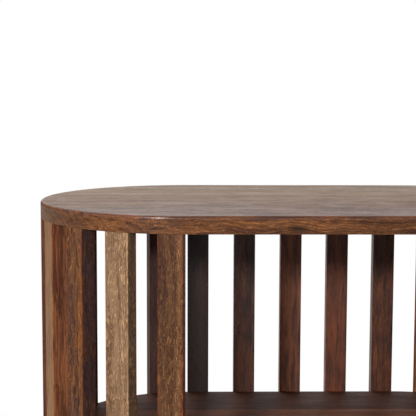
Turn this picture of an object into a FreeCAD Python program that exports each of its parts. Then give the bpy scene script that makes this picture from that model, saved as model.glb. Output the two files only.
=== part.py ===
# End table: an oval solid-wood top on a ring of upright slats that are also its legs.
# The ring is open at the front, and one shelf is held inside it.
# Millimetres, +Z up. The origin is on the floor under the middle of the top, and the open front faces -Y.

import FreeCAD
import Part
import Sketcher
import math
import os

from FreeCAD import Placement, Rotation, Vector

# Driving dimensions

SIZES = {
    "top_length": 640,
    "top_depth": 360,
    "top_thickness": 20,
    "top_edge_radius": 2.5,
    "bevel_share": 0.586,
    "corner_share": 0.215,
    "top_under_ease": 0.6,
    "table_height": 450,
    "slat_width": 28.8,
    "slat_thickness": 20,
    "slat_setback": 0.6,
    "slat_edge_radius": 1.2,
    "foot_chamfer": 0.8,
    "left_first_angle": 14.1,
    "right_first_angle": 16.2,
    "last_angle": 173.3,
    "shelf_clearance": 265,
    "shelf_thickness": 20,
    "shelf_edge_bevel": 1.2,
    "seat_depth": 0.8,
    "dowel_diameter": 8,
    "dowel_spacing": 14,
    "dowel_chamfer": 0.8,
    "dowel_in_slat_end": 22,
    "dowel_in_top": 13,
    "dowel_in_slat_face": 13,
    "dowel_in_shelf": 20,
    "dowel_end_gap": 0.5,
    "glue_gap": 0.1,
    "overrun": 5,
}
# Slats to each side of the rear middle one: along the straight back, at even shares of half its length,
# then round the end at even angles from its first slat to its last, beside the open front.
# The first slat stands a little further round on the right end than on the left.
BACK_SLATS_PER_SIDE = 2
BACK_SLAT_SHARE = 0.4536
END_SLATS_PER_SIDE = 9
# Two lengths closer than this count as equal.
LENGTH_TOLERANCE = 1e-6
# Widths of the glued boards from front to rear, as shares of the panel's depth.
# The glue lines pass between the dowels.
BOARD_PLACES = ("front", "mid_front", "mid_rear", "rear")
TOP_BOARD_SHARES = (0.24, 0.2253, 0.2547, 0.28)
SHELF_BOARD_SHARES = (0.245, 0.26, 0.2165, 0.2785)

doc = FreeCAD.newDocument("end_table")
sheet = doc.addObject("Spreadsheet::Sheet", "sizes")
for row, (alias, value) in enumerate(SIZES.items(), start=1):
    sheet.set(f"A{row}", alias)
    sheet.set(f"B{row}", str(value))
    sheet.setAlias(f"B{row}", alias)
doc.recompute()


def size(alias):
    """The value of one driving dimension, read from the sheet."""
    return float(sheet.get(alias))


# Derived heights and distances

SLAT_LENGTH = "sizes.table_height - sizes.top_thickness"
SHELF_TOP = "sizes.table_height - sizes.top_thickness - sizes.shelf_clearance"
SHELF_RADIUS = "sizes.top_depth / 2 - sizes.slat_setback - sizes.slat_thickness + sizes.seat_depth"
END_SPREAD = "sizes.top_length - sizes.top_depth"
BORE = "sizes.dowel_diameter + 2 * sizes.glue_gap"

slat_length = size("table_height") - size("top_thickness")
shelf_top = slat_length - size("shelf_clearance")
shelf_mid = shelf_top - size("shelf_thickness") / 2
rim_radius = size("top_depth") / 2
half_straight = (size("top_length") - size("top_depth")) / 2
seat_radius = rim_radius - size("slat_setback") - size("slat_thickness")
shelf_radius = seat_radius + size("seat_depth")
hole_radius = size("dowel_diameter") / 2 + size("glue_gap")

# Places on the ring. A slat's own +Y points outward, and its own origin is the middle of its foot.

slat_depth = rim_radius - size("slat_setback") - size("slat_thickness") / 2


def back_place(side, number):
    """A slat on the straight back, counted from the middle. Side is -1 for left and 1 for right."""
    return Placement(Vector(side * number * BACK_SLAT_SHARE * half_straight, slat_depth, 0), Rotation())


def end_place(side, number):
    """A slat on a round end, counted from the back."""
    first_angle = size("left_first_angle" if side < 0 else "right_first_angle")
    step_angle = (size("last_angle") - first_angle) / (END_SLATS_PER_SIDE - 1)
    angle = first_angle + (number - 1) * step_angle
    turn = Rotation(Vector(0, 0, 1), -side * angle)
    return Placement(Vector(side * half_straight, 0, 0) + turn.multVec(Vector(0, slat_depth, 0)), turn)


slat_places = {"slat_rear_middle": back_place(1, 0)}
for side, side_name in ((-1, "left"), (1, "right")):
    places = [back_place(side, number) for number in range(1, BACK_SLATS_PER_SIDE + 1)]
    places += [end_place(side, number) for number in range(1, END_SLATS_PER_SIDE + 1)]
    for number, place in enumerate(places, start=1):
        slat_places[f"slat_{side_name}_{number:02d}"] = place

# Sketch and feature helpers. These numbers name a curve's points, and the sketch's own axes and origin.

START_INDEX, END_INDEX, CENTRE_INDEX = 1, 2, 3
X_AXIS_INDEX, Y_AXIS_INDEX = -1, -2
ORIGIN = (X_AXIS_INDEX, START_INDEX)


def origin_plane(body, role):
    """One of a body's own origin planes."""
    return next(f for f in body.Origin.OriginFeatures if f.Role == role)


def new_sketch(body, name, role):
    """An empty sketch on one of the body's origin planes."""
    sketch = body.newObject("Sketcher::SketchObject", name)
    sketch.AttachmentSupport = [(origin_plane(body, role), "")]
    sketch.MapMode = "FlatFace"
    return sketch


def drive(sketch, constraint, name, expression):
    """Adds a named dimension to a sketch and ties it to the sheet."""
    index = sketch.addConstraint(constraint)
    sketch.renameConstraint(index, name)
    sketch.setExpression(f"Constraints.{name}", expression)


def oval_sketch(body, name, radius, radius_rule):
    """Two half circles joined by straight runs, centred on the origin."""
    sketch = new_sketch(body, name, "XY_Plane")
    right, left = Vector(half_straight, 0, 0), Vector(-half_straight, 0, 0)
    out = Vector(0, radius, 0)
    up = Vector(0, 0, 1)
    quarter = math.pi / 2
    rear = sketch.addGeometry(Part.LineSegment(right + out, left + out))
    left_end = sketch.addGeometry(Part.ArcOfCircle(Part.Circle(left, up, radius), quarter, 3 * quarter))
    front = sketch.addGeometry(Part.LineSegment(left - out, right - out))
    right_end = sketch.addGeometry(Part.ArcOfCircle(Part.Circle(right, up, radius), -quarter, quarter))
    ring = (rear, left_end, front, right_end)
    for one, following in zip(ring, ring[1:] + ring[:1]):
        sketch.addConstraint(Sketcher.Constraint("Tangent", one, END_INDEX, following, START_INDEX))
    for straight in (rear, front):
        sketch.addConstraint(Sketcher.Constraint("Horizontal", straight))
    centres = (left_end, CENTRE_INDEX, right_end, CENTRE_INDEX)
    sketch.addConstraint(Sketcher.Constraint("Symmetric", *centres, *ORIGIN))
    spread = Sketcher.Constraint("DistanceX", *centres, 2 * half_straight)
    drive(sketch, spread, "end_spread", END_SPREAD)
    drive(sketch, Sketcher.Constraint("Radius", left_end, radius), "end_radius", radius_rule)
    return sketch


def slat_section(body, name):
    """The slat's rectangle, centred on the origin."""
    sketch = new_sketch(body, name, "XY_Plane")
    x, y = size("slat_width") / 2, size("slat_thickness") / 2
    corners = [Vector(-x, -y, 0), Vector(x, -y, 0), Vector(x, y, 0), Vector(-x, y, 0)]
    lines = [
        sketch.addGeometry(Part.LineSegment(one, following))
        for one, following in zip(corners, corners[1:] + corners[:1])
    ]
    for one, following in zip(lines, lines[1:] + lines[:1]):
        sketch.addConstraint(Sketcher.Constraint("Coincident", one, END_INDEX, following, START_INDEX))
    for line, direction in zip(lines, ("Horizontal", "Vertical", "Horizontal", "Vertical")):
        sketch.addConstraint(Sketcher.Constraint(direction, line))
    opposite = (lines[0], START_INDEX, lines[2], START_INDEX)
    sketch.addConstraint(Sketcher.Constraint("Symmetric", *opposite, *ORIGIN))
    width = Sketcher.Constraint("DistanceX", lines[0], START_INDEX, lines[0], END_INDEX, 2 * x)
    drive(sketch, width, "width", "sizes.slat_width")
    thickness = Sketcher.Constraint("DistanceY", lines[1], START_INDEX, lines[1], END_INDEX, 2 * y)
    drive(sketch, thickness, "thickness", "sizes.slat_thickness")
    return sketch


def lift(sketch, distance, rule):
    """Moves a sketch along its normal by a distance that the sheet gives."""
    sketch.AttachmentOffset = Placement(Vector(0, 0, distance), Rotation())
    sketch.setExpression("AttachmentOffset.Base.z", rule)


def drill(sketch, x, y):
    """One dowel hole in a sketch, with its bore tied to the sheet by the caller."""
    return sketch.addGeometry(Part.Circle(Vector(x, y, 0), Vector(0, 0, 1), hole_radius))


def end_hole_sketch(body, name):
    """The two dowel holes in a slat's top end."""
    sketch = new_sketch(body, name, "XY_Plane")
    lift(sketch, slat_length, SLAT_LENGTH)
    reach = size("dowel_spacing") / 2
    holes = [drill(sketch, x, 0) for x in (-reach, reach)]
    centres = (holes[0], CENTRE_INDEX, holes[1], CENTRE_INDEX)
    sketch.addConstraint(Sketcher.Constraint("Equal", *holes))
    sketch.addConstraint(Sketcher.Constraint("Symmetric", *centres, *ORIGIN))
    sketch.addConstraint(Sketcher.Constraint("PointOnObject", holes[0], CENTRE_INDEX, X_AXIS_INDEX))
    drive(sketch, Sketcher.Constraint("DistanceX", *centres, 2 * reach), "spacing", "sizes.dowel_spacing")
    drive(sketch, Sketcher.Constraint("Diameter", holes[0], 2 * hole_radius), "bore", BORE)
    return sketch


def face_hole_sketch(body, name):
    """The dowel hole in a slat's inner face, at the middle of the shelf's edge."""
    sketch = new_sketch(body, name, "XZ_Plane")
    lift(sketch, size("slat_thickness") / 2, "sizes.slat_thickness / 2")
    hole = drill(sketch, 0, shelf_mid)
    sketch.addConstraint(Sketcher.Constraint("PointOnObject", hole, CENTRE_INDEX, Y_AXIS_INDEX))
    rise = Sketcher.Constraint("DistanceY", *ORIGIN, hole, CENTRE_INDEX, shelf_mid)
    drive(sketch, rise, "rise", f"{SHELF_TOP} - sizes.shelf_thickness / 2")
    drive(sketch, Sketcher.Constraint("Diameter", hole, 2 * hole_radius), "bore", BORE)
    return sketch


def pad(body, sketch, name, rule):
    """Raises a sketch by a length that the sheet gives."""
    feature = body.newObject("PartDesign::Pad", name)
    feature.Profile = sketch
    feature.setExpression("Length", rule)
    sketch.Visibility = False
    doc.recompute()
    return feature


def pocket(body, sketch, name, rule):
    """Sinks a sketch into the solid behind it, and makes sure that it cut something."""
    before = body.Shape.Volume
    feature = body.newObject("PartDesign::Pocket", name)
    feature.Profile = sketch
    feature.setExpression("Length", rule)
    doc.recompute()
    if feature.Shape.Volume >= before:
        raise RuntimeError(f"{name} cuts nothing")
    return feature


def ease(body, base, kind, name, edges, rule):
    """Rounds or chamfers the named edges of a feature."""
    feature = body.newObject(f"PartDesign::{kind}", name)
    feature.Base = (base, edges)
    feature.setExpression("Radius" if kind == "Fillet" else "Size", rule)
    doc.recompute()
    return feature


def level_edges(shape, height):
    """Names of the edges that lie at one height."""
    return [
        f"Edge{number}"
        for number, edge in enumerate(shape.Edges, start=1)
        if math.isclose(edge.BoundBox.ZMin, height, abs_tol=LENGTH_TOLERANCE)
        and math.isclose(edge.BoundBox.ZMax, height, abs_tol=LENGTH_TOLERANCE)
    ]


def upright_edges(shape, length):
    """Names of the edges that stand the whole length of a slat."""
    return [
        f"Edge{number}"
        for number, edge in enumerate(shape.Edges, start=1)
        if math.isclose(edge.BoundBox.ZLength, length, abs_tol=LENGTH_TOLERANCE)
    ]


# Slats: one stick each, its edges eased by sanding, with dowel holes in its top end and its inner face


def make_slat(name, place):
    """One slat, drawn on its own origin and then stood in its place."""
    body = doc.addObject("PartDesign::Body", name)
    body.Label = name
    stick = pad(body, slat_section(body, f"{name}_section"), f"{name}_stick", SLAT_LENGTH)
    uprights = upright_edges(stick.Shape, slat_length)
    rounded = ease(body, stick, "Fillet", f"{name}_arris", uprights, "sizes.slat_edge_radius")
    foot = level_edges(rounded.Shape, 0)
    ease(body, rounded, "Chamfer", f"{name}_foot", foot, "sizes.foot_chamfer")
    end_holes = end_hole_sketch(body, f"{name}_end_holes")
    pocket(body, end_holes, f"{name}_end_bores", "sizes.dowel_in_slat_end + sizes.dowel_end_gap")
    face_hole = face_hole_sketch(body, f"{name}_face_hole")
    pocket(body, face_hole, f"{name}_face_bore", "sizes.dowel_in_slat_face + sizes.dowel_end_gap")
    body.Placement = place
    return body


# Dowels and the tools that cut their holes and seats, each repeated at every slat


def rod(radius, start, direction, length):
    """A plain round rod from a start point."""
    return Part.makeCylinder(radius, length, start, direction)


def chamfered_rod(start, direction, length):
    """One dowel, with its two ends chamfered."""
    blank = rod(size("dowel_diameter") / 2, start, direction, length)
    rims = [edge for edge in blank.Edges if edge.isClosed()]
    return blank.makeChamfer(size("dowel_chamfer"), rims)


def at_each_slat(name, shapes):
    """The shapes, drawn in a slat's own frame, repeated at each slat as one group."""
    group = []
    for place in slat_places.values():
        for shape in shapes:
            copy = shape.copy()
            copy.Placement = place.multiply(copy.Placement)
            group.append(copy)
    feature = doc.addObject("Part::Feature", name)
    feature.Label = name
    feature.Shape = Part.makeCompound(group)
    return feature


up, outward = Vector(0, 0, 1), Vector(0, 1, 0)
asides = (-size("dowel_spacing") / 2, size("dowel_spacing") / 2)
inner_face = -size("slat_thickness") / 2

top_dowel_starts = [Vector(x, 0, slat_length - size("dowel_in_slat_end")) for x in asides]
top_dowel_length = size("dowel_in_slat_end") + size("dowel_in_top")
top_dowels = at_each_slat(
    "top_dowels", [chamfered_rod(start, up, top_dowel_length) for start in top_dowel_starts]
)
shelf_dowel_start = Vector(0, inner_face - size("dowel_in_shelf"), shelf_mid)
shelf_dowel_length = size("dowel_in_shelf") + size("dowel_in_slat_face")
shelf_dowels = at_each_slat(
    "shelf_dowels", [chamfered_rod(shelf_dowel_start, outward, shelf_dowel_length)]
)

top_hole_depth = size("dowel_in_top") + size("dowel_end_gap")
top_holes = at_each_slat(
    "top_hole_tools",
    [
        rod(hole_radius, Vector(x, 0, slat_length - size("overrun")), up, top_hole_depth + size("overrun"))
        for x in asides
    ],
)
shelf_hole_depth = size("dowel_in_shelf") + size("dowel_end_gap")
shelf_hole_start = Vector(0, inner_face - shelf_hole_depth, shelf_mid)
shelf_hole_tool = rod(hole_radius, shelf_hole_start, outward, shelf_hole_depth + size("overrun"))
seat_tool = Part.makeBox(
    size("slat_width"),
    size("slat_thickness"),
    size("shelf_thickness") + 2 * size("overrun"),
    Vector(-size("slat_width") / 2, inner_face, shelf_top - size("shelf_thickness") - size("overrun")),
)
shelf_cuts = at_each_slat("shelf_cut_tools", [shelf_hole_tool, seat_tool])

# Top and shelf: boards glued edge to edge into one blank, then cut to the oval, eased and drilled


def make_blank(name, radius, radius_rule, thickness, bottom, bottom_rule):
    """A square-edged oval panel, and the body that holds it."""
    body = doc.addObject("PartDesign::Body", name)
    outline = oval_sketch(body, f"{name}_oval", radius, radius_rule)
    panel = pad(body, outline, f"{name}_pad", f"sizes.{thickness}")
    body.Placement = Placement(Vector(0, 0, bottom), Rotation())
    body.setExpression("Placement.Base.z", bottom_rule)
    return body, panel


def cut_from(name, blank, tools):
    """The blank with its holes and seats cut."""
    feature = doc.addObject("Part::Cut", name)
    feature.Base = blank
    feature.Tool = tools
    doc.recompute()
    return feature


def saw_into_boards(prefix, panel, shares, depth, bottom, thickness):
    """The boards that the panel is glued from, front to rear, split along their glue lines."""
    boards = []
    front = -depth / 2
    length, rise = size("top_length") + 2 * size("overrun"), size(thickness) + 2 * size("overrun")
    for place, share in zip(BOARD_PLACES, shares):
        low = front
        front += share * depth
        high = front
        if place == "front":
            low -= size("overrun")
        if place == "rear":
            high += size("overrun")
        strip = doc.addObject("Part::Box", f"{prefix}_{place}_strip")
        strip.Length, strip.Width, strip.Height = length, high - low, rise
        strip.setExpression("Length", "sizes.top_length + 2 * sizes.overrun")
        strip.setExpression("Height", f"sizes.{thickness} + 2 * sizes.overrun")
        strip.Placement = Placement(Vector(-length / 2, low, bottom - size("overrun")), Rotation())
        board = doc.addObject("Part::Common", f"{prefix}_{place}")
        board.Label = f"{prefix}_{place}"
        board.Base = panel
        board.Tool = strip
        boards.append(board)
    doc.recompute()
    return boards


top_blank, top_slab = make_blank(
    "top_blank", rim_radius, "sizes.top_depth / 2", "top_thickness", slat_length, SLAT_LENGTH
)
# The upper edge is worked round in three flats: a bevel, then its two corners.
bevel_rule = "sizes.top_edge_radius * sizes.bevel_share"
corner_rule = "sizes.top_edge_radius * sizes.corner_share"
bevel_height = size("top_thickness") - size("top_edge_radius") * size("bevel_share")
upper_edges = level_edges(top_slab.Shape, size("top_thickness"))
top_bevel = ease(top_blank, top_slab, "Chamfer", "top_bevel", upper_edges, bevel_rule)
corners = [
    edge
    for height in (size("top_thickness"), bevel_height)
    for edge in level_edges(top_bevel.Shape, height)
]
top_round = ease(top_blank, top_bevel, "Chamfer", "top_round", corners, corner_rule)
under_edges = level_edges(top_round.Shape, 0)
ease(top_blank, top_round, "Chamfer", "top_under", under_edges, "sizes.top_under_ease")
top_panel = cut_from("top_panel", top_blank, top_holes)
top_boards = saw_into_boards(
    "top_board", top_panel, TOP_BOARD_SHARES, 2 * rim_radius, slat_length, "top_thickness"
)

shelf_bottom = shelf_top - size("shelf_thickness")
shelf_blank, shelf_slab = make_blank(
    "shelf_blank", shelf_radius, SHELF_RADIUS, "shelf_thickness",
    shelf_bottom, f"{SHELF_TOP} - sizes.shelf_thickness",
)
rims = [edge for height in (size("shelf_thickness"), 0) for edge in level_edges(shelf_slab.Shape, height)]
ease(shelf_blank, shelf_slab, "Chamfer", "shelf_bevels", rims, "sizes.shelf_edge_bevel")
shelf_panel = cut_from("shelf_panel", shelf_blank, shelf_cuts)
shelf_boards = saw_into_boards(
    "shelf_board", shelf_panel, SHELF_BOARD_SHARES, 2 * shelf_radius, shelf_bottom, "shelf_thickness"
)

slats = [make_slat(name, place) for name, place in slat_places.items()]
doc.recompute()

# Check every object, then write one file for each sub-part

for item in doc.Objects:
    if "Invalid" in item.State or "Error" in item.State:
        raise RuntimeError(f"{item.Name} failed: {item.State}")

sub_parts = [*top_boards, *shelf_boards, *slats, top_dowels, shelf_dowels]
os.makedirs("parts", exist_ok=True)
for part in sub_parts:
    shape = part.Shape
    if shape.isNull() or not shape.isValid() or not shape.Solids:
        raise RuntimeError(f"{part.Label} has no valid solid")
for part in sub_parts:
    part.Shape.exportStep(f"parts/{part.Label}.step")
print(f"{len(sub_parts)} sub-parts")
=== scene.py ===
import math
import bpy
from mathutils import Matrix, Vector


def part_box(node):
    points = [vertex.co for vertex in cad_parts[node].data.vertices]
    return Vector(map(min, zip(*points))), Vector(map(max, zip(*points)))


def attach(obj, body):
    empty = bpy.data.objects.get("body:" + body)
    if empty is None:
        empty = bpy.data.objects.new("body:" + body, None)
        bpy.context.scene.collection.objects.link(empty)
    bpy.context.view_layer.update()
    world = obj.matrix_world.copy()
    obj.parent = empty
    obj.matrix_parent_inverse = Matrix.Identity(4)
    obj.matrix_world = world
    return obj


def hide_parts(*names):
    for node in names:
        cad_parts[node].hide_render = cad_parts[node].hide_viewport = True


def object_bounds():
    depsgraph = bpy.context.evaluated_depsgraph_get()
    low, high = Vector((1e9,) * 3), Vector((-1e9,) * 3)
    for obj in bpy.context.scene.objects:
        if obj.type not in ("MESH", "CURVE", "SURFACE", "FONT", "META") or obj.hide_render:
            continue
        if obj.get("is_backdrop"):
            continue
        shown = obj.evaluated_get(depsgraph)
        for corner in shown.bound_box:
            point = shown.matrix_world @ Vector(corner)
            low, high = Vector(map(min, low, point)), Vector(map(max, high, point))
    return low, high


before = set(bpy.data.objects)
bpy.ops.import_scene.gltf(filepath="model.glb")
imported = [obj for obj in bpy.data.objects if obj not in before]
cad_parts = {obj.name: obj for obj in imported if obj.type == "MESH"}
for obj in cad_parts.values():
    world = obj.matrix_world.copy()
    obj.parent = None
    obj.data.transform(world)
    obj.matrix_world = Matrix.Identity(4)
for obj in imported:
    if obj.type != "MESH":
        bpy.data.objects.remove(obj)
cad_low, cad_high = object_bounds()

from types import SimpleNamespace

import bmesh
import bpy
from mathutils import Color, Matrix, Vector

# Top: four solid boards glued edge to edge, cut to an oval, rounded over along the upper edge and lacquered
# satin. The grain runs along the table, so the round ends show end grain. Each board is another plank with
# its own tone, and a glue line shows only as the change from one to the next.


def tint(red, green, blue):
    """A colour as it is read off a screen, from 0 to 255, as the linear colour that a shader takes."""
    return *Color((red / 255, green / 255, blue / 255)).from_srgb_to_scene_linear(), 1.0


def put(tree, kind, inputs=None, **options):
    """Places one node, with its options, and sets or links its inputs."""
    node = tree.nodes.new(kind)
    for name, value in options.items():
        setattr(node, name, value)
    for key, value in (inputs or {}).items():
        if isinstance(value, bpy.types.NodeSocket):
            tree.links.new(value, node.inputs[key])
        else:
            node.inputs[key].default_value = value
    return node


def maths(tree, operation, first, second=0.0, third=0.0):
    """One sum on numbers."""
    numbers = {0: first, 1: second, 2: third}
    return put(tree, "ShaderNodeMath", numbers, operation=operation).outputs["Value"]


def between(tree, value, low, high, start=0.0, end=1.0):
    """A soft step of a value from low to high, given out as start to end."""
    limits = {"Value": value, "From Min": low, "From Max": high, "To Min": start, "To Max": end}
    return put(tree, "ShaderNodeMapRange", limits, interpolation_type="SMOOTHSTEP").outputs["Result"]


def far_from(tree, first, second):
    """How far off a point is that lies so far off in two directions square to each other."""
    square = maths(tree, "MULTIPLY_ADD", first, first, maths(tree, "MULTIPLY", second, second))
    return maths(tree, "SQRT", square)


# The Mix node has its own sockets for each kind of value, all with the same names, so colours go by number.
mix_share, mix_first, mix_second, mix_colour = 0, 6, 7, 2


def blend(tree, share, first, second, kind="MIX"):
    """Two colours mixed by a share."""
    colours = {mix_share: share, mix_first: first, mix_second: second}
    node = put(tree, "ShaderNodeMix", colours, data_type="RGBA", blend_type=kind)
    return node.outputs[mix_colour]


def new_group(name, inputs, outputs):
    """An empty shader node group: its tree, the sockets that it is given and the node for its results."""
    tree = bpy.data.node_groups.new(name, "ShaderNodeTree")
    for in_out, sockets in (("INPUT", inputs), ("OUTPUT", outputs)):
        for socket, kind in sockets.items():
            tree.interface.new_socket(socket, in_out=in_out, socket_type=f"NodeSocket{kind}")
    return tree, tree.nodes.new("NodeGroupInput").outputs, tree.nodes.new("NodeGroupOutput")


# Plank figure: growth rings about a heart line, tone bands, streaks, fibres, short spindle flecks, dark
# heartwood, pale sapwood and open pores, all drawn out along the grain. Lengths in it are in millimetres.
plank_numbers = (
    "Along", "Across", "Through", "Arris", "Painted Edge Light", "End Grain", "Broad Face", "Seed", "Breadth",
    "Heart Across", "Heart Through", "Ring Width", "Dark Fleck", "Pale Fleck", "Curl", "Streak", "Flame",
    "Mottle", "Face Shade", "Knot Along", "Knot Through", "Knot Size", "Core Edge", "Sap Edge", "Satin",
)
plank_colours = ("Pale", "Brown", "Heartwood", "Sapwood")
plank, given, result = new_group(
    "lacquered_plank",
    dict.fromkeys(plank_numbers, "Float") | dict.fromkeys(plank_colours, "Color"),
    {"Color": "Color", "Roughness": "Float", "Height": "Float"},
)


def times(first, second):
    """Two numbers of the plank's multiplied."""
    return maths(plank, "MULTIPLY", first, second)


def plus(first, share, second):
    """The first number, and a share of the second."""
    return maths(plank, "MULTIPLY_ADD", second, share, first)


def spot(along, across, through):
    """A place in the log that the plank was cut from."""
    return put(plank, "ShaderNodeCombineXYZ", {"X": along, "Y": across, "Z": through}).outputs["Vector"]


def cells(point, per_mm, detail, roughness=0.55, distortion=0.0):
    """Noise with so many cells to the millimetre along, across and through the grain."""
    scaled = put(plank, "ShaderNodeVectorMath", {0: point, 1: per_mm}, operation="MULTIPLY")
    noise = {"Vector": scaled.outputs["Vector"], "Scale": 1.0}
    noise |= {"Detail": detail, "Roughness": roughness, "Distortion": distortion}
    return put(plank, "ShaderNodeTexNoise", noise).outputs["Fac"]


def off_middle(noise):
    """Noise about zero instead of about a half."""
    return maths(plank, "SUBTRACT", noise, 0.5)


def grey(level):
    """A number as a grey, for shading a colour."""
    levels = {"Red": level, "Green": level, "Blue": level}
    return put(plank, "ShaderNodeCombineColor", levels).outputs["Color"]


def shaded(colour, shade):
    """A colour times a shade."""
    return blend(plank, 1.0, colour, shade, "MULTIPLY")


# Where a point lies in the log. The seed steps move each plank to another part of it, and the grain sways.
mm_per_metre = 1000.0
seed_steps = {"Along": 137.0, "Across": 59.0, "Through": 83.0}
own = {way: times(given[way], mm_per_metre) for way in seed_steps}
along, across, through = (plus(own[way], step, given["Seed"]) for way, step in seed_steps.items())
straight_spot = spot(along, across, through)
long_sway = off_middle(cells(straight_spot, (0.005, 0.02, 0.02), 1.5))
short_sway = off_middle(cells(straight_spot, (0.03, 0.06, 0.06), 2.0))
deep_sway = off_middle(cells(straight_spot, (0.018, 0.012, 0.012), 2.0))
sway = plus(times(short_sway, plus(4.0, 20.0, given["Curl"])), 24.0, long_sway)
across = maths(plank, "ADD", across, sway)
through = maths(plank, "ADD", through, times(deep_sway, plus(4.0, 32.0, given["Curl"])))
grain_spot = spot(along, across, through)
broad_spot = spot(along, maths(plank, "DIVIDE", across, given["Breadth"]), through)

# Growth rings round the heart line, and the marks in the wood.
ring_across = maths(plank, "ADD", maths(plank, "SUBTRACT", own["Across"], given["Heart Across"]), sway)
ring_through = maths(plank, "SUBTRACT", own["Through"], given["Heart Through"])
rings = maths(plank, "DIVIDE", far_from(plank, ring_across, ring_through), given["Ring Width"])
late_wood = between(plank, maths(plank, "FRACT", rings), 0.35, 0.97)
bands = off_middle(cells(broad_spot, (0.003, 0.075, 0.075), 3.0))
streaks = off_middle(cells(broad_spot, (0.013, 0.4, 0.5), 4.0, 0.65))
blotches = off_middle(cells(broad_spot, (0.02, 0.07, 0.07), 2.0))
flames = between(plank, cells(broad_spot, (0.0065, 0.05, 0.05), 2.5, 0.5, 0.3), 0.5, 0.62)
vein_cells = maths(plank, "ABSOLUTE", off_middle(cells(broad_spot, (0.006, 0.14, 0.14), 2.0)))
veins = between(plank, vein_cells, 0.01, 0.05, 1.0, 0.0)
fibres = off_middle(cells(grain_spot, (0.05, 1.6, 1.6), 2.0))
pores = between(plank, cells(grain_spot, (0.11, 2.0, 2.0), 1.0), 0.58, 0.7)
spindle_cells = cells(grain_spot, (0.13, 0.62, 0.62), 1.5, 0.5, 0.8)
spindle_patches = between(plank, cells(grain_spot, (0.016, 0.08, 0.08), 1.0), 0.36, 0.58, 0.45, 1.0)
dark_spindles = maths(plank, "ABSOLUTE", off_middle(spindle_cells))
dark_spindles = times(between(plank, dark_spindles, 0.015, 0.085, 1.0, 0.0), spindle_patches)
pale_spindles = between(plank, spindle_cells, 0.55, 0.68)
knot_along = times(maths(plank, "SUBTRACT", own["Along"], given["Knot Along"]), 0.35)
knot_through = maths(plank, "SUBTRACT", own["Through"], given["Knot Through"])
knot_reach = plus(far_from(plank, knot_along, knot_through), 3.0, short_sway)
knot = between(plank, knot_reach, 0.4, given["Knot Size"], 1.0, 0.0)

# The colour: a tone between pale and brown, heartwood and sapwood along their edges, painted edge light
# along the arris as a warmer orange band, then flecks, knot, veins, pores and fibres. End grain and broad
# faces show less of the figure.
figure_share = plus(plus(1.0, -0.75, given["End Grain"]), -0.7, given["Broad Face"])
tone = plus(plus(0.42, 1.8, times(bands, figure_share)), 0.22, late_wood)
tone = plus(tone, times(plus(1.4, 2.6, given["Streak"]), figure_share), streaks)
tone = between(plank, plus(tone, given["Mottle"], blotches), -0.2, 1.2)
wood = blend(plank, tone, given["Pale"], given["Brown"])
plain_shade = grey(plus(1.0, 1.1, streaks))
edge_wander = times(short_sway, 4.0)
past_core = maths(plank, "SUBTRACT", edge_wander, maths(plank, "ADD", own["Across"], given["Core Edge"]))
core = maths(plank, "MAXIMUM", times(flames, given["Flame"]), between(plank, past_core, -1.5, 1.5))
wood = blend(plank, core, wood, shaded(given["Heartwood"], plain_shade))
past_sap = maths(plank, "SUBTRACT", maths(plank, "ADD", own["Through"], edge_wander), given["Sap Edge"])
wood = blend(plank, between(plank, past_sap, -0.8, 0.8), wood, shaded(given["Sapwood"], plain_shade))
# Painted edge light: along the arris the wood is shaded a warmer orange. This stands in for the line of
# light that a rounded edge catches.
painted_edge_tint = (1.05, 0.75, 0.5, 1.0)
pale_fleck, dark_fleck = (1.72, 1.72, 1.62, 1.0), (0.42, 0.33, 0.27, 1.0)
wood = blend(plank, times(given["Arris"], given["Painted Edge Light"]), wood, shaded(wood, painted_edge_tint))
pale_spindles = times(pale_spindles, times(given["Pale Fleck"], figure_share))
wood = blend(plank, pale_spindles, wood, shaded(wood, pale_fleck))
dark_spindles = times(dark_spindles, times(given["Dark Fleck"], figure_share))
wood = blend(plank, dark_spindles, wood, shaded(wood, dark_fleck))
shade = plus(1.0, -0.7, knot)
for more_shade in (
    maths(plank, "SUBTRACT", 1.0, times(given["Face Shade"], given["Broad Face"])),
    plus(1.0, -0.45, times(veins, times(given["Streak"], figure_share))),
    plus(1.0, -0.35, pores),
    plus(1.0, 0.6, fibres),
    plus(1.0, -0.2, given["End Grain"]),
):
    shade = times(shade, more_shade)
plank.links.new(shaded(wood, grey(shade)), result.inputs["Color"])

# The lacquer lies duller over pores, pale bands and end grain, and smoother along an arris that wear has
# rubbed.
sheen = plus(plus(plus(given["Satin"], 0.35, streaks), 0.3, bands), 0.14, pores)
sheen = plus(sheen, times(given["Mottle"], 0.15), blotches)
sheen = plus(plus(sheen, -0.1, given["Arris"]), 0.15, given["End Grain"])
sheen = plus(sheen, 0.5, times(given["Arris"], given["End Grain"]))
plank.links.new(sheen, result.inputs["Roughness"])
plank.links.new(plus(plus(plus(0.6, 0.35, fibres), 0.25, streaks), -0.6, pores), result.inputs["Height"])

# Arris band: the band along an edge where a piece's two faces meet, given how far out and up a point lies
# and how far out and up that edge is. It carries the wear, the painted edge light and the polish.
arris, given, result = new_group(
    "arris_wear_and_light_band", dict.fromkeys(("Out", "Up", "Edge Out", "Edge Up", "Width"), "Float"), {"Mask": "Float"}
)
short_out, short_up = (maths(arris, "SUBTRACT", given[f"Edge {way}"], given[way]) for way in ("Out", "Up"))
fade_from = maths(arris, "MULTIPLY", given["Width"], 0.7)
near_edge = between(arris, far_from(arris, short_out, short_up), fade_from, given["Width"], 1.0, 0.0)
arris.links.new(near_edge, result.inputs["Mask"])

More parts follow.
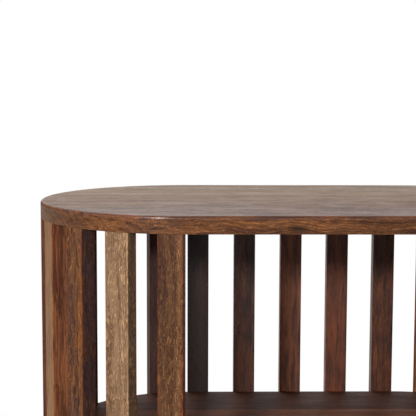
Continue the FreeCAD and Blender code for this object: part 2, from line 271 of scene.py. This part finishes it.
# Oval reach: how far out a point of the top lies from the line between the centres of its two ends.
oval_reach, given, result = new_group(
    "oval_reach", {"Point": "Vector", "Half Straight": "Float"}, {"Out": "Float"}
)
place = put(oval_reach, "ShaderNodeSeparateXYZ", {"Vector": given["Point"]}).outputs
past_centre = maths(oval_reach, "ABSOLUTE", place["X"])
past_centre = maths(oval_reach, "SUBTRACT", past_centre, given["Half Straight"])
past_centre = maths(oval_reach, "MAXIMUM", past_centre, 0.0)
oval_reach.links.new(far_from(oval_reach, past_centre, place["Y"]), result.inputs["Out"])

# A plank without heartwood, sapwood or a knot has them this far off, in millimetres.
far_off = 1000.0
no_knot = (5000.0, 0.0, 1.0)


def figure_of(
    seed, pale, brown, heart=(40.0, -60.0), ring=7.0, breadth=1.0, dark=0.2, light=0.1, curl=0.1,
    streak=0.3, flame=0.2, mottle=1.0, satin=0.6, face_shade=0.0, painted_edge_light=0.8, knot=no_knot,
    heartwood=tint(62, 36, 28), core_edge=far_off, sapwood=tint(150, 110, 74), sap_edge=far_off,
):
    """One plank's figure by the plank's socket names. Heart line, rings and edges are in millimetres.
    The painted edge light is how strongly the arris is painted a warmer orange, for the light a rounded edge
    catches.
    """
    return {
        "Seed": seed, "Breadth": breadth,
        "Heart Across": heart[0], "Heart Through": heart[1], "Ring Width": ring,
        "Pale": pale, "Brown": brown, "Heartwood": heartwood, "Sapwood": sapwood,
        "Dark Fleck": dark, "Pale Fleck": light, "Curl": curl, "Streak": streak, "Flame": flame,
        "Mottle": mottle, "Face Shade": face_shade, "Satin": satin, "Painted Edge Light": painted_edge_light,
        "Knot Along": knot[0], "Knot Through": knot[1], "Knot Size": knot[2],
        "Core Edge": core_edge, "Sap Edge": sap_edge,
    }


end_grain_starts, end_grain_full = 0.45, 0.95
grain_depth = 0.0004
polish_roughness = 0.23


def lacquered(name, figure, middle, turn=0.0, order="XYZ", shine=0.16, relief=0.25):
    """A lacquered plank with its middle at a place, turned about the upright. The order says which of its
    own axes run along, across and through the grain. Gives the finish and the nodes that a piece adds to."""
    material = bpy.data.materials.new(name)
    material.use_nodes = True
    tree = material.node_tree
    tree.nodes.clear()
    surface = put(tree, "ShaderNodeTexCoord").outputs
    turned = {"Vector": surface["Object"], "Location": middle, "Rotation": (0.0, 0.0, turn)}
    turned = put(tree, "ShaderNodeMapping", turned, vector_type="TEXTURE").outputs["Vector"]
    axes = put(tree, "ShaderNodeSeparateXYZ", {"Vector": turned}).outputs
    facing = put(tree, "ShaderNodeSeparateXYZ", {"Vector": surface["Normal"]}).outputs
    end_facing = maths(tree, "ABSOLUTE", facing[order[0]])
    end_grain = between(tree, end_facing, end_grain_starts, end_grain_full)
    lies = {way: axes[axis] for way, axis in zip(("Along", "Across", "Through"), order)}
    wood = put(tree, "ShaderNodeGroup", figure | lies | {"End Grain": end_grain}, node_tree=plank)
    grain = {"Height": wood.outputs["Height"], "Strength": relief, "Distance": grain_depth}
    lacquer = {
        "Base Color": wood.outputs["Color"],
        "Roughness": wood.outputs["Roughness"],
        "Specular IOR Level": shine,
        "Coat Roughness": polish_roughness,
        "Normal": put(tree, "ShaderNodeBump", grain).outputs["Normal"],
    }
    lacquer = put(tree, "ShaderNodeBsdfPrincipled", lacquer)
    put(tree, "ShaderNodeOutputMaterial", {"Surface": lacquer.outputs["BSDF"]})
    return SimpleNamespace(
        material=material, tree=tree, point=surface["Object"], axes=axes, facing=facing,
        end_grain=end_grain, wood=wood, lacquer=lacquer,
    )


def edge_band(tree, width, out, up, edge_out, edge_up):
    """The band of a width along an edge."""
    edge = {"Out": out, "Up": up, "Edge Out": edge_out, "Edge Up": edge_up, "Width": width}
    return put(tree, "ShaderNodeGroup", edge, node_tree=arris).outputs["Mask"]


weld = 0.00001
crease = math.radians(40)


def upright_edges(shape):
    """The edges of a fresh block that stand upright."""
    return [edge for edge in shape.edges if abs(edge.verts[0].co.z - edge.verts[1].co.z) > weld]


def round_over(shape, edges, reach, steps):
    """Rounds edges over, so far in from each."""
    bmesh.ops.bevel(
        shape, geom=edges, offset=reach, offset_type="OFFSET", segments=steps, profile=0.5,
        affect="EDGES", material=-1,
    )


def piece_of(name, shape, material, node):
    """Makes a shape into the piece that stands for a node, with soft roundings and flat faces."""
    bmesh.ops.recalc_face_normals(shape, faces=shape.faces)
    mesh = bpy.data.meshes.new(name)
    shape.to_mesh(mesh)
    shape.free()
    mesh.shade_smooth()
    mesh.set_sharp_from_angle(angle=crease)
    mesh.materials.append(material)
    piece = bpy.data.objects.new(name, mesh)
    bpy.context.scene.collection.objects.link(piece)
    piece.modifiers.new("flat_faces", "WEIGHTED_NORMAL").keep_sharp = True
    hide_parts(node)
    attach(piece, "root")


end_radius = cad_high.y
half_straight = min(cad_high.x, -cad_low.x) - end_radius
end_steps = 48
edge_round, edge_steps = 0.003, 6
under_ease, under_steps = 0.0006, 2
edge_light_and_wear_width, polished_width = 0.0037, 0.0044
top_relief = 0.6
top_figures = {
    "top_board_front": figure_of(
        1.3, tint(154, 100, 60), tint(67, 36, 26), heart=(70.0, -60.0), breadth=2.5, dark=0.75, light=0.7,
        curl=0.4, streak=0.5, flame=0.1, satin=0.36, face_shade=0.25, knot=(-23.0, -4.0, 5.5),
    ),
    "top_board_mid_front": figure_of(
        4.7, tint(140, 98, 60), tint(88, 56, 36), heart=(-20.0, 90.0), ring=9.0, breadth=2.5, curl=0.6,
        satin=0.42,
    ),
    "top_board_mid_rear": figure_of(
        7.1, tint(148, 108, 66), tint(98, 66, 42), heart=(30.0, -110.0), breadth=2.5, curl=0.6, flame=0.1,
        satin=0.4,
    ),
    "top_board_rear": figure_of(
        2.6, tint(150, 112, 68), tint(98, 68, 42), heart=(-60.0, 80.0), breadth=2.5, curl=0.6, flame=0.1,
        satin=0.4,
    ),
}
for node, figure in top_figures.items():
    low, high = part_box(node)
    middle = (low + high) / 2
    thickness = high.z - low.z
    shape = bmesh.new()
    blank = Matrix.Diagonal((2 * (half_straight + end_radius), 2 * end_radius, thickness, 1.0))
    bmesh.ops.create_cube(shape, size=1.0, matrix=Matrix.Translation((0.0, 0.0, middle.z)) @ blank)
    round_over(shape, upright_edges(shape), end_radius, end_steps)
    bmesh.ops.remove_doubles(shape, verts=shape.verts, dist=weld)
    upper_rim = [edge for edge in shape.edges if all(end.co.z > middle.z for end in edge.verts)]
    round_over(shape, upper_rim, edge_round, edge_steps)
    lower_rim = [edge for edge in shape.edges if all(end.co.z < low.z + under_ease for end in edge.verts)]
    round_over(shape, lower_rim, under_ease, under_steps)
    for glue_line, away in ((low.y, -1.0), (high.y, 1.0)):
        if abs(glue_line) < end_radius - edge_round:
            bmesh.ops.bisect_plane(
                shape, geom=[*shape.verts, *shape.edges, *shape.faces],
                plane_co=(0.0, glue_line, 0.0), plane_no=(0.0, away, 0.0), clear_outer=True,
            )
            bmesh.ops.holes_fill(shape, edges=[edge for edge in shape.edges if edge.is_boundary], sides=0)
    board = lacquered(f"{node}_wood", figure, middle, relief=top_relief)
    tree = board.tree
    level = maths(tree, "ABSOLUTE", board.facing["Z"])
    tree.links.new(level, board.wood.inputs["Broad Face"])
    reach = {"Point": board.point, "Half Straight": half_straight}
    reach = put(tree, "ShaderNodeGroup", reach, node_tree=oval_reach).outputs["Out"]
    # The narrower band takes the painted edge light and the wear, the wider one the polish.
    arris_wear_and_light, polished = (
        edge_band(tree, width, reach, board.axes["Z"], end_radius, thickness / 2)
        for width in (edge_light_and_wear_width, polished_width)
    )
    tree.links.new(arris_wear_and_light, board.wood.inputs["Arris"])
    # Handling has polished the rim's upper edge, but not its end grain, the flat above or the open pores.
    for where in (
        maths(tree, "SUBTRACT", 1.0, board.end_grain),
        between(tree, level, 0.35, 0.6, 1.0, 0.0),
        between(tree, board.wood.outputs["Height"], 0.42, 0.68),
    ):
        polished = maths(tree, "MULTIPLY", polished, where)
    tree.links.new(polished, board.lacquer.inputs["Coat Weight"])
    piece_of(f"{node}_finished", shape, board.material, node)

# Slats: straight sticks of the same wood that carry the top and are the legs, dowelled and glued under it.
# Their long edges are lightly rounded and the feet eased. Each is cut from another plank with the grain
# upright, so tones from pale tan to dark red-brown stand side by side.

stick_low, stick_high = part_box("slat_rear_middle")
stick_size = stick_high - stick_low
stick_round, stick_steps = 0.0012, 3
foot_ease, foot_steps = 0.0008, 1
stick_edge_light_and_wear_width = 0.0025
slat_shine, rear_shine = 0.2, 0.3
tan_wood = (tint(182, 145, 110), tint(119, 85, 60))
honey_wood = (tint(158, 100, 54), tint(64, 34, 24))
fleck_wood = (tint(136, 94, 58), tint(78, 48, 30))
red_wood = (tint(118, 70, 48), tint(80, 44, 34))
# Each slat has the light on its arris painted in at a strength of its own.
slat_figures = {
    "rear_middle": figure_of(0.4, tint(178, 112, 76), tint(104, 70, 62), flame=0.2, mottle=2.0, satin=0.5),
    "left_01": figure_of(
        4.1, tint(107, 66, 49), tint(50, 36, 34), curl=0.3, streak=0.6, flame=0.7, mottle=2.0, satin=0.5
    ),
    "left_02": figure_of(7.8, tint(58, 38, 35), tint(36, 26, 26), flame=0.5, satin=0.5),
    "left_03": figure_of(11.5, tint(112, 79, 70), tint(78, 55, 52), flame=0.2, satin=0.7),
    "left_04": figure_of(15.2, *honey_wood),
    "left_05": figure_of(18.9, *red_wood, flame=0.3),
    "left_06": figure_of(22.6, *fleck_wood, dark=0.6, light=0.3),
    "left_07": figure_of(26.3, *red_wood, streak=0.8, flame=0.6),
    "left_08": figure_of(
        30.0, tint(175, 109, 71), tint(103, 58, 40), streak=0.8, sapwood=tint(165, 121, 80), sap_edge=9.4
    ),
    "left_09": figure_of(
        33.7, tint(152, 96, 48), tint(62, 34, 24), dark=0.7, light=0.9, curl=0.5, streak=0.7, flame=0.3,
        mottle=0.5, heartwood=tint(82, 60, 60), core_edge=13.6,
    ),
    "left_10": figure_of(
        37.4, *tan_wood, dark=0.75, light=1.0, curl=0.2, streak=0.1, flame=0.0, mottle=0.2, painted_edge_light=0.2,
        heartwood=tint(208, 172, 134), core_edge=13.6,
    ),
    "left_11": figure_of(
        41.1, tint(141, 97, 60), tint(81, 49, 31), dark=1.0, light=1.0, curl=0.2, streak=0.1, flame=0.0,
        mottle=0.2, heartwood=tint(120, 66, 42), core_edge=12.6,
    ),
    "right_01": figure_of(44.8, tint(136, 77, 49), tint(78, 47, 41), flame=0.2, mottle=2.0, satin=0.5),
    "right_02": figure_of(
        48.5, tint(121, 72, 46), tint(62, 38, 35), dark=0.5, light=0.6, flame=0.4, mottle=2.0, satin=0.5
    ),
    "right_03": figure_of(52.2, *honey_wood, flame=0.3),
    "right_04": figure_of(55.9, *fleck_wood, dark=0.5, light=0.4),
    "right_05": figure_of(59.6, *tan_wood, dark=0.2, light=0.4, flame=0.0, painted_edge_light=0.4),
    "right_06": figure_of(63.3, *red_wood, streak=0.6, flame=0.4),
    "right_07": figure_of(67.0, *honey_wood, curl=0.4),
    "right_08": figure_of(70.7, *fleck_wood, dark=0.4, light=0.3, flame=0.3),
    "right_09": figure_of(74.4, *tan_wood, dark=0.3, light=0.5, curl=0.3, flame=0.0, painted_edge_light=0.4),
    "right_10": figure_of(78.1, *honey_wood, streak=0.6, flame=0.4),
    "right_11": figure_of(81.8, *fleck_wood, dark=0.7, light=0.7, curl=0.3, flame=0.1),
}
smooth_rear_slats = ("left_03", "left_02", "left_01", "rear_middle", "right_01", "right_02")
for name, figure in slat_figures.items():
    node = f"slat_{name}"
    low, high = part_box(node)
    middle = (low + high) / 2
    past_straight = max(abs(middle.x) - half_straight, 0.0)
    turn = math.atan2(-math.copysign(past_straight, middle.x), middle.y)
    shape = bmesh.new()
    bmesh.ops.create_cube(shape, size=1.0, matrix=Matrix.Diagonal((*stick_size, 1.0)))
    round_over(shape, upright_edges(shape), stick_round, stick_steps)
    foot_level = foot_ease - stick_size.z / 2
    foot = [edge for edge in shape.edges if all(end.co.z < foot_level for end in edge.verts)]
    round_over(shape, foot, foot_ease, foot_steps)
    shape.transform(Matrix.Translation(middle) @ Matrix.Rotation(turn, 4, "Z"))
    shine = rear_shine if name in smooth_rear_slats else slat_shine
    stick = lacquered(f"{node}_wood", figure, middle, turn, "ZXY", shine)
    # Painted edge light and wear along the stick's long edges.
    off_centre = (maths(stick.tree, "ABSOLUTE", stick.axes[axis]) for axis in "XY")
    arris_wear_and_light = edge_band(stick.tree, stick_edge_light_and_wear_width, *off_centre, stick_size.x / 2, stick_size.y / 2)
    stick.tree.links.new(arris_wear_and_light, stick.wood.inputs["Arris"])
    piece_of(f"{node}_finished", shape, stick.material, node)

# Shelf: four boards glued edge to edge like the top, cut to fit inside the slats, with a flat seat on its
# edge for each slat and one dowel into it. It carries the same lacquer, a little duller.


def dress(node, material):
    """Gives a carried-over solid its finish."""
    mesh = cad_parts[node].data
    mesh.materials.clear()
    mesh.materials.append(material)


shelf_shine = 0.13
shelf_figures = {
    "shelf_board_front": figure_of(
        5.5, tint(127, 84, 62), tint(89, 55, 43), heart=(60.0, -70.0), flame=0.3, satin=0.6
    ),
    "shelf_board_mid_front": figure_of(
        8.2, tint(130, 84, 58), tint(88, 54, 38), heart=(-40.0, 60.0), satin=0.6
    ),
    "shelf_board_mid_rear": figure_of(
        3.1, tint(145, 91, 63), tint(94, 55, 40), heart=(20.0, -90.0), satin=0.6
    ),
    "shelf_board_rear": figure_of(
        6.4, tint(99, 62, 48), tint(65, 40, 33), heart=(-50.0, 70.0), ring=9.0, satin=0.6
    ),
}
for node, figure in shelf_figures.items():
    low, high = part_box(node)
    board = lacquered(f"{node}_wood", figure, (low + high) / 2, shine=shelf_shine)
    level = maths(board.tree, "ABSOLUTE", board.facing["Z"])
    board.tree.links.new(level, board.wood.inputs["Broad Face"])
    dress(node, board.material)

# Dowels: plain round pegs of pale beech. Two are glued into the upper end of each slat and into the top,
# and one goes from each slat into the shelf's edge, so that none of them shows.

peg_figure = figure_of(
    9.0, tint(206, 174, 130), tint(178, 142, 100), ring=2.0, dark=0.3, streak=0.0, flame=0.0, satin=0.6
)
for node, order in (("top_dowels", "ZXY"), ("shelf_dowels", "YXZ")):
    dress(node, lacquered(f"{node}_wood", peg_figure, (0.0, 0.0, 0.0), order=order).material)

# Studio: a floor of pale paper that fades to white away from the table, in a white surround. In front of
# the table the paper throws little light back, so the rear slats stay in the shade of the top. A small soft
# lamp stands in front and to the left, and weaker ones hang above and behind.

floor_reach = 6.0
fade_starts, fade_ends, near_fade = 0.45, 0.75, 0.5
shade_seen, shade_in_front = 0.75, 0.22
ground = bmesh.new()
bmesh.ops.create_grid(ground, x_segments=1, y_segments=1, size=floor_reach)
floor_mesh = bpy.data.meshes.new("studio_floor")
ground.to_mesh(floor_mesh)
ground.free()
floor = bpy.data.objects.new("studio_floor", floor_mesh)
bpy.context.scene.collection.objects.link(floor)
floor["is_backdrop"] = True
paper = bpy.data.materials.new("studio_paper")
paper.use_nodes = True
tree = paper.node_tree
tree.nodes.clear()


def seen_directly(tree):
    """One where the picture itself, a reflection or a see-through piece shows this surface, else zero."""
    path = put(tree, "ShaderNodeLightPath").outputs
    seen = maths(tree, "MAXIMUM", path["Is Camera Ray"], path["Is Glossy Ray"])
    return maths(tree, "MAXIMUM", seen, path["Is Transmission Ray"])


seen = seen_directly(tree)
point = put(tree, "ShaderNodeTexCoord").outputs["Object"]
far_out = put(tree, "ShaderNodeVectorMath", {0: point}, operation="LENGTH").outputs["Value"]
far_out = between(tree, far_out, fade_starts, fade_ends, near_fade, 1.0)
to_rear = put(tree, "ShaderNodeSeparateXYZ", {"Vector": point}).outputs["Y"]
thrown_back = between(tree, to_rear, 0.0, 0.4, shade_in_front, shade_seen)
paper_shade = between(tree, seen, 0.0, 1.0, thrown_back, shade_seen)
matt = put(tree, "ShaderNodeBsdfDiffuse", {"Color": paper_shade}).outputs["BSDF"]
white = {"Color": (1.0, 1.0, 1.0, 1.0), "Strength": 1.0}
white = put(tree, "ShaderNodeEmission", white).outputs["Emission"]
white_share = maths(tree, "MULTIPLY", far_out, seen)
surface = put(tree, "ShaderNodeMixShader", {0: white_share, 1: matt, 2: white}).outputs["Shader"]
put(tree, "ShaderNodeOutputMaterial", {"Surface": surface})
floor_mesh.materials.append(paper)

surround_light, surround_seen = 0.05, 1.0
world = bpy.data.worlds.new("studio")
bpy.context.scene.world = world
world.use_nodes = True
tree = world.node_tree
tree.nodes.clear()
strength = between(tree, seen_directly(tree), 0.0, 1.0, surround_light, surround_seen)
surround = {"Color": (1.0, 1.0, 1.0, 1.0), "Strength": strength}
surround = put(tree, "ShaderNodeBackground", surround).outputs["Background"]
put(tree, "ShaderNodeOutputWorld", {"Surface": surround})


def soft_lamp(name, place, aim, width, watts):
    """A square soft box that looks at a point."""
    lamp = bpy.data.lights.new(name, "AREA")
    lamp.shape = "SQUARE"
    lamp.size = width
    lamp.energy = watts
    holder = bpy.data.objects.new(name, lamp)
    holder.location = place
    holder.rotation_euler = (Vector(aim) - Vector(place)).to_track_quat("-Z", "Y").to_euler()
    bpy.context.scene.collection.objects.link(holder)


soft_lamp("front_lamp", place=(-1.18, -2.48, 1.12), aim=(0.0, 0.0, 0.35), width=0.25, watts=58.0)
soft_lamp("over_lamp", place=(-1.00, -0.50, 2.20), aim=(0.0, 0.0, 0.4), width=1.0, watts=4.0)
soft_lamp("rear_lamp", place=(-0.60, 1.30, 2.20), aim=(0.0, 0.0, 0.3), width=1.0, watts=20.0)

# Camera: as the photograph was taken, a little above the top and almost square to the open front. Its
# place, lens and lean were fitted to the table's edges in the photograph.

picture = bpy.data.cameras.new("picture")
picture.sensor_width = 36.0
picture.lens = 103.64
eye = bpy.data.objects.new("picture", picture)
eye.location = (-0.14587, -1.45637, 0.60386)
eye.rotation_euler = (math.pi / 2 - 0.1131, -0.00301, -0.01959)
bpy.context.scene.collection.objects.link(eye)
bpy.context.scene.camera = eye
bpy.context.scene.view_settings.view_transform = "Standard"

low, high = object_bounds()
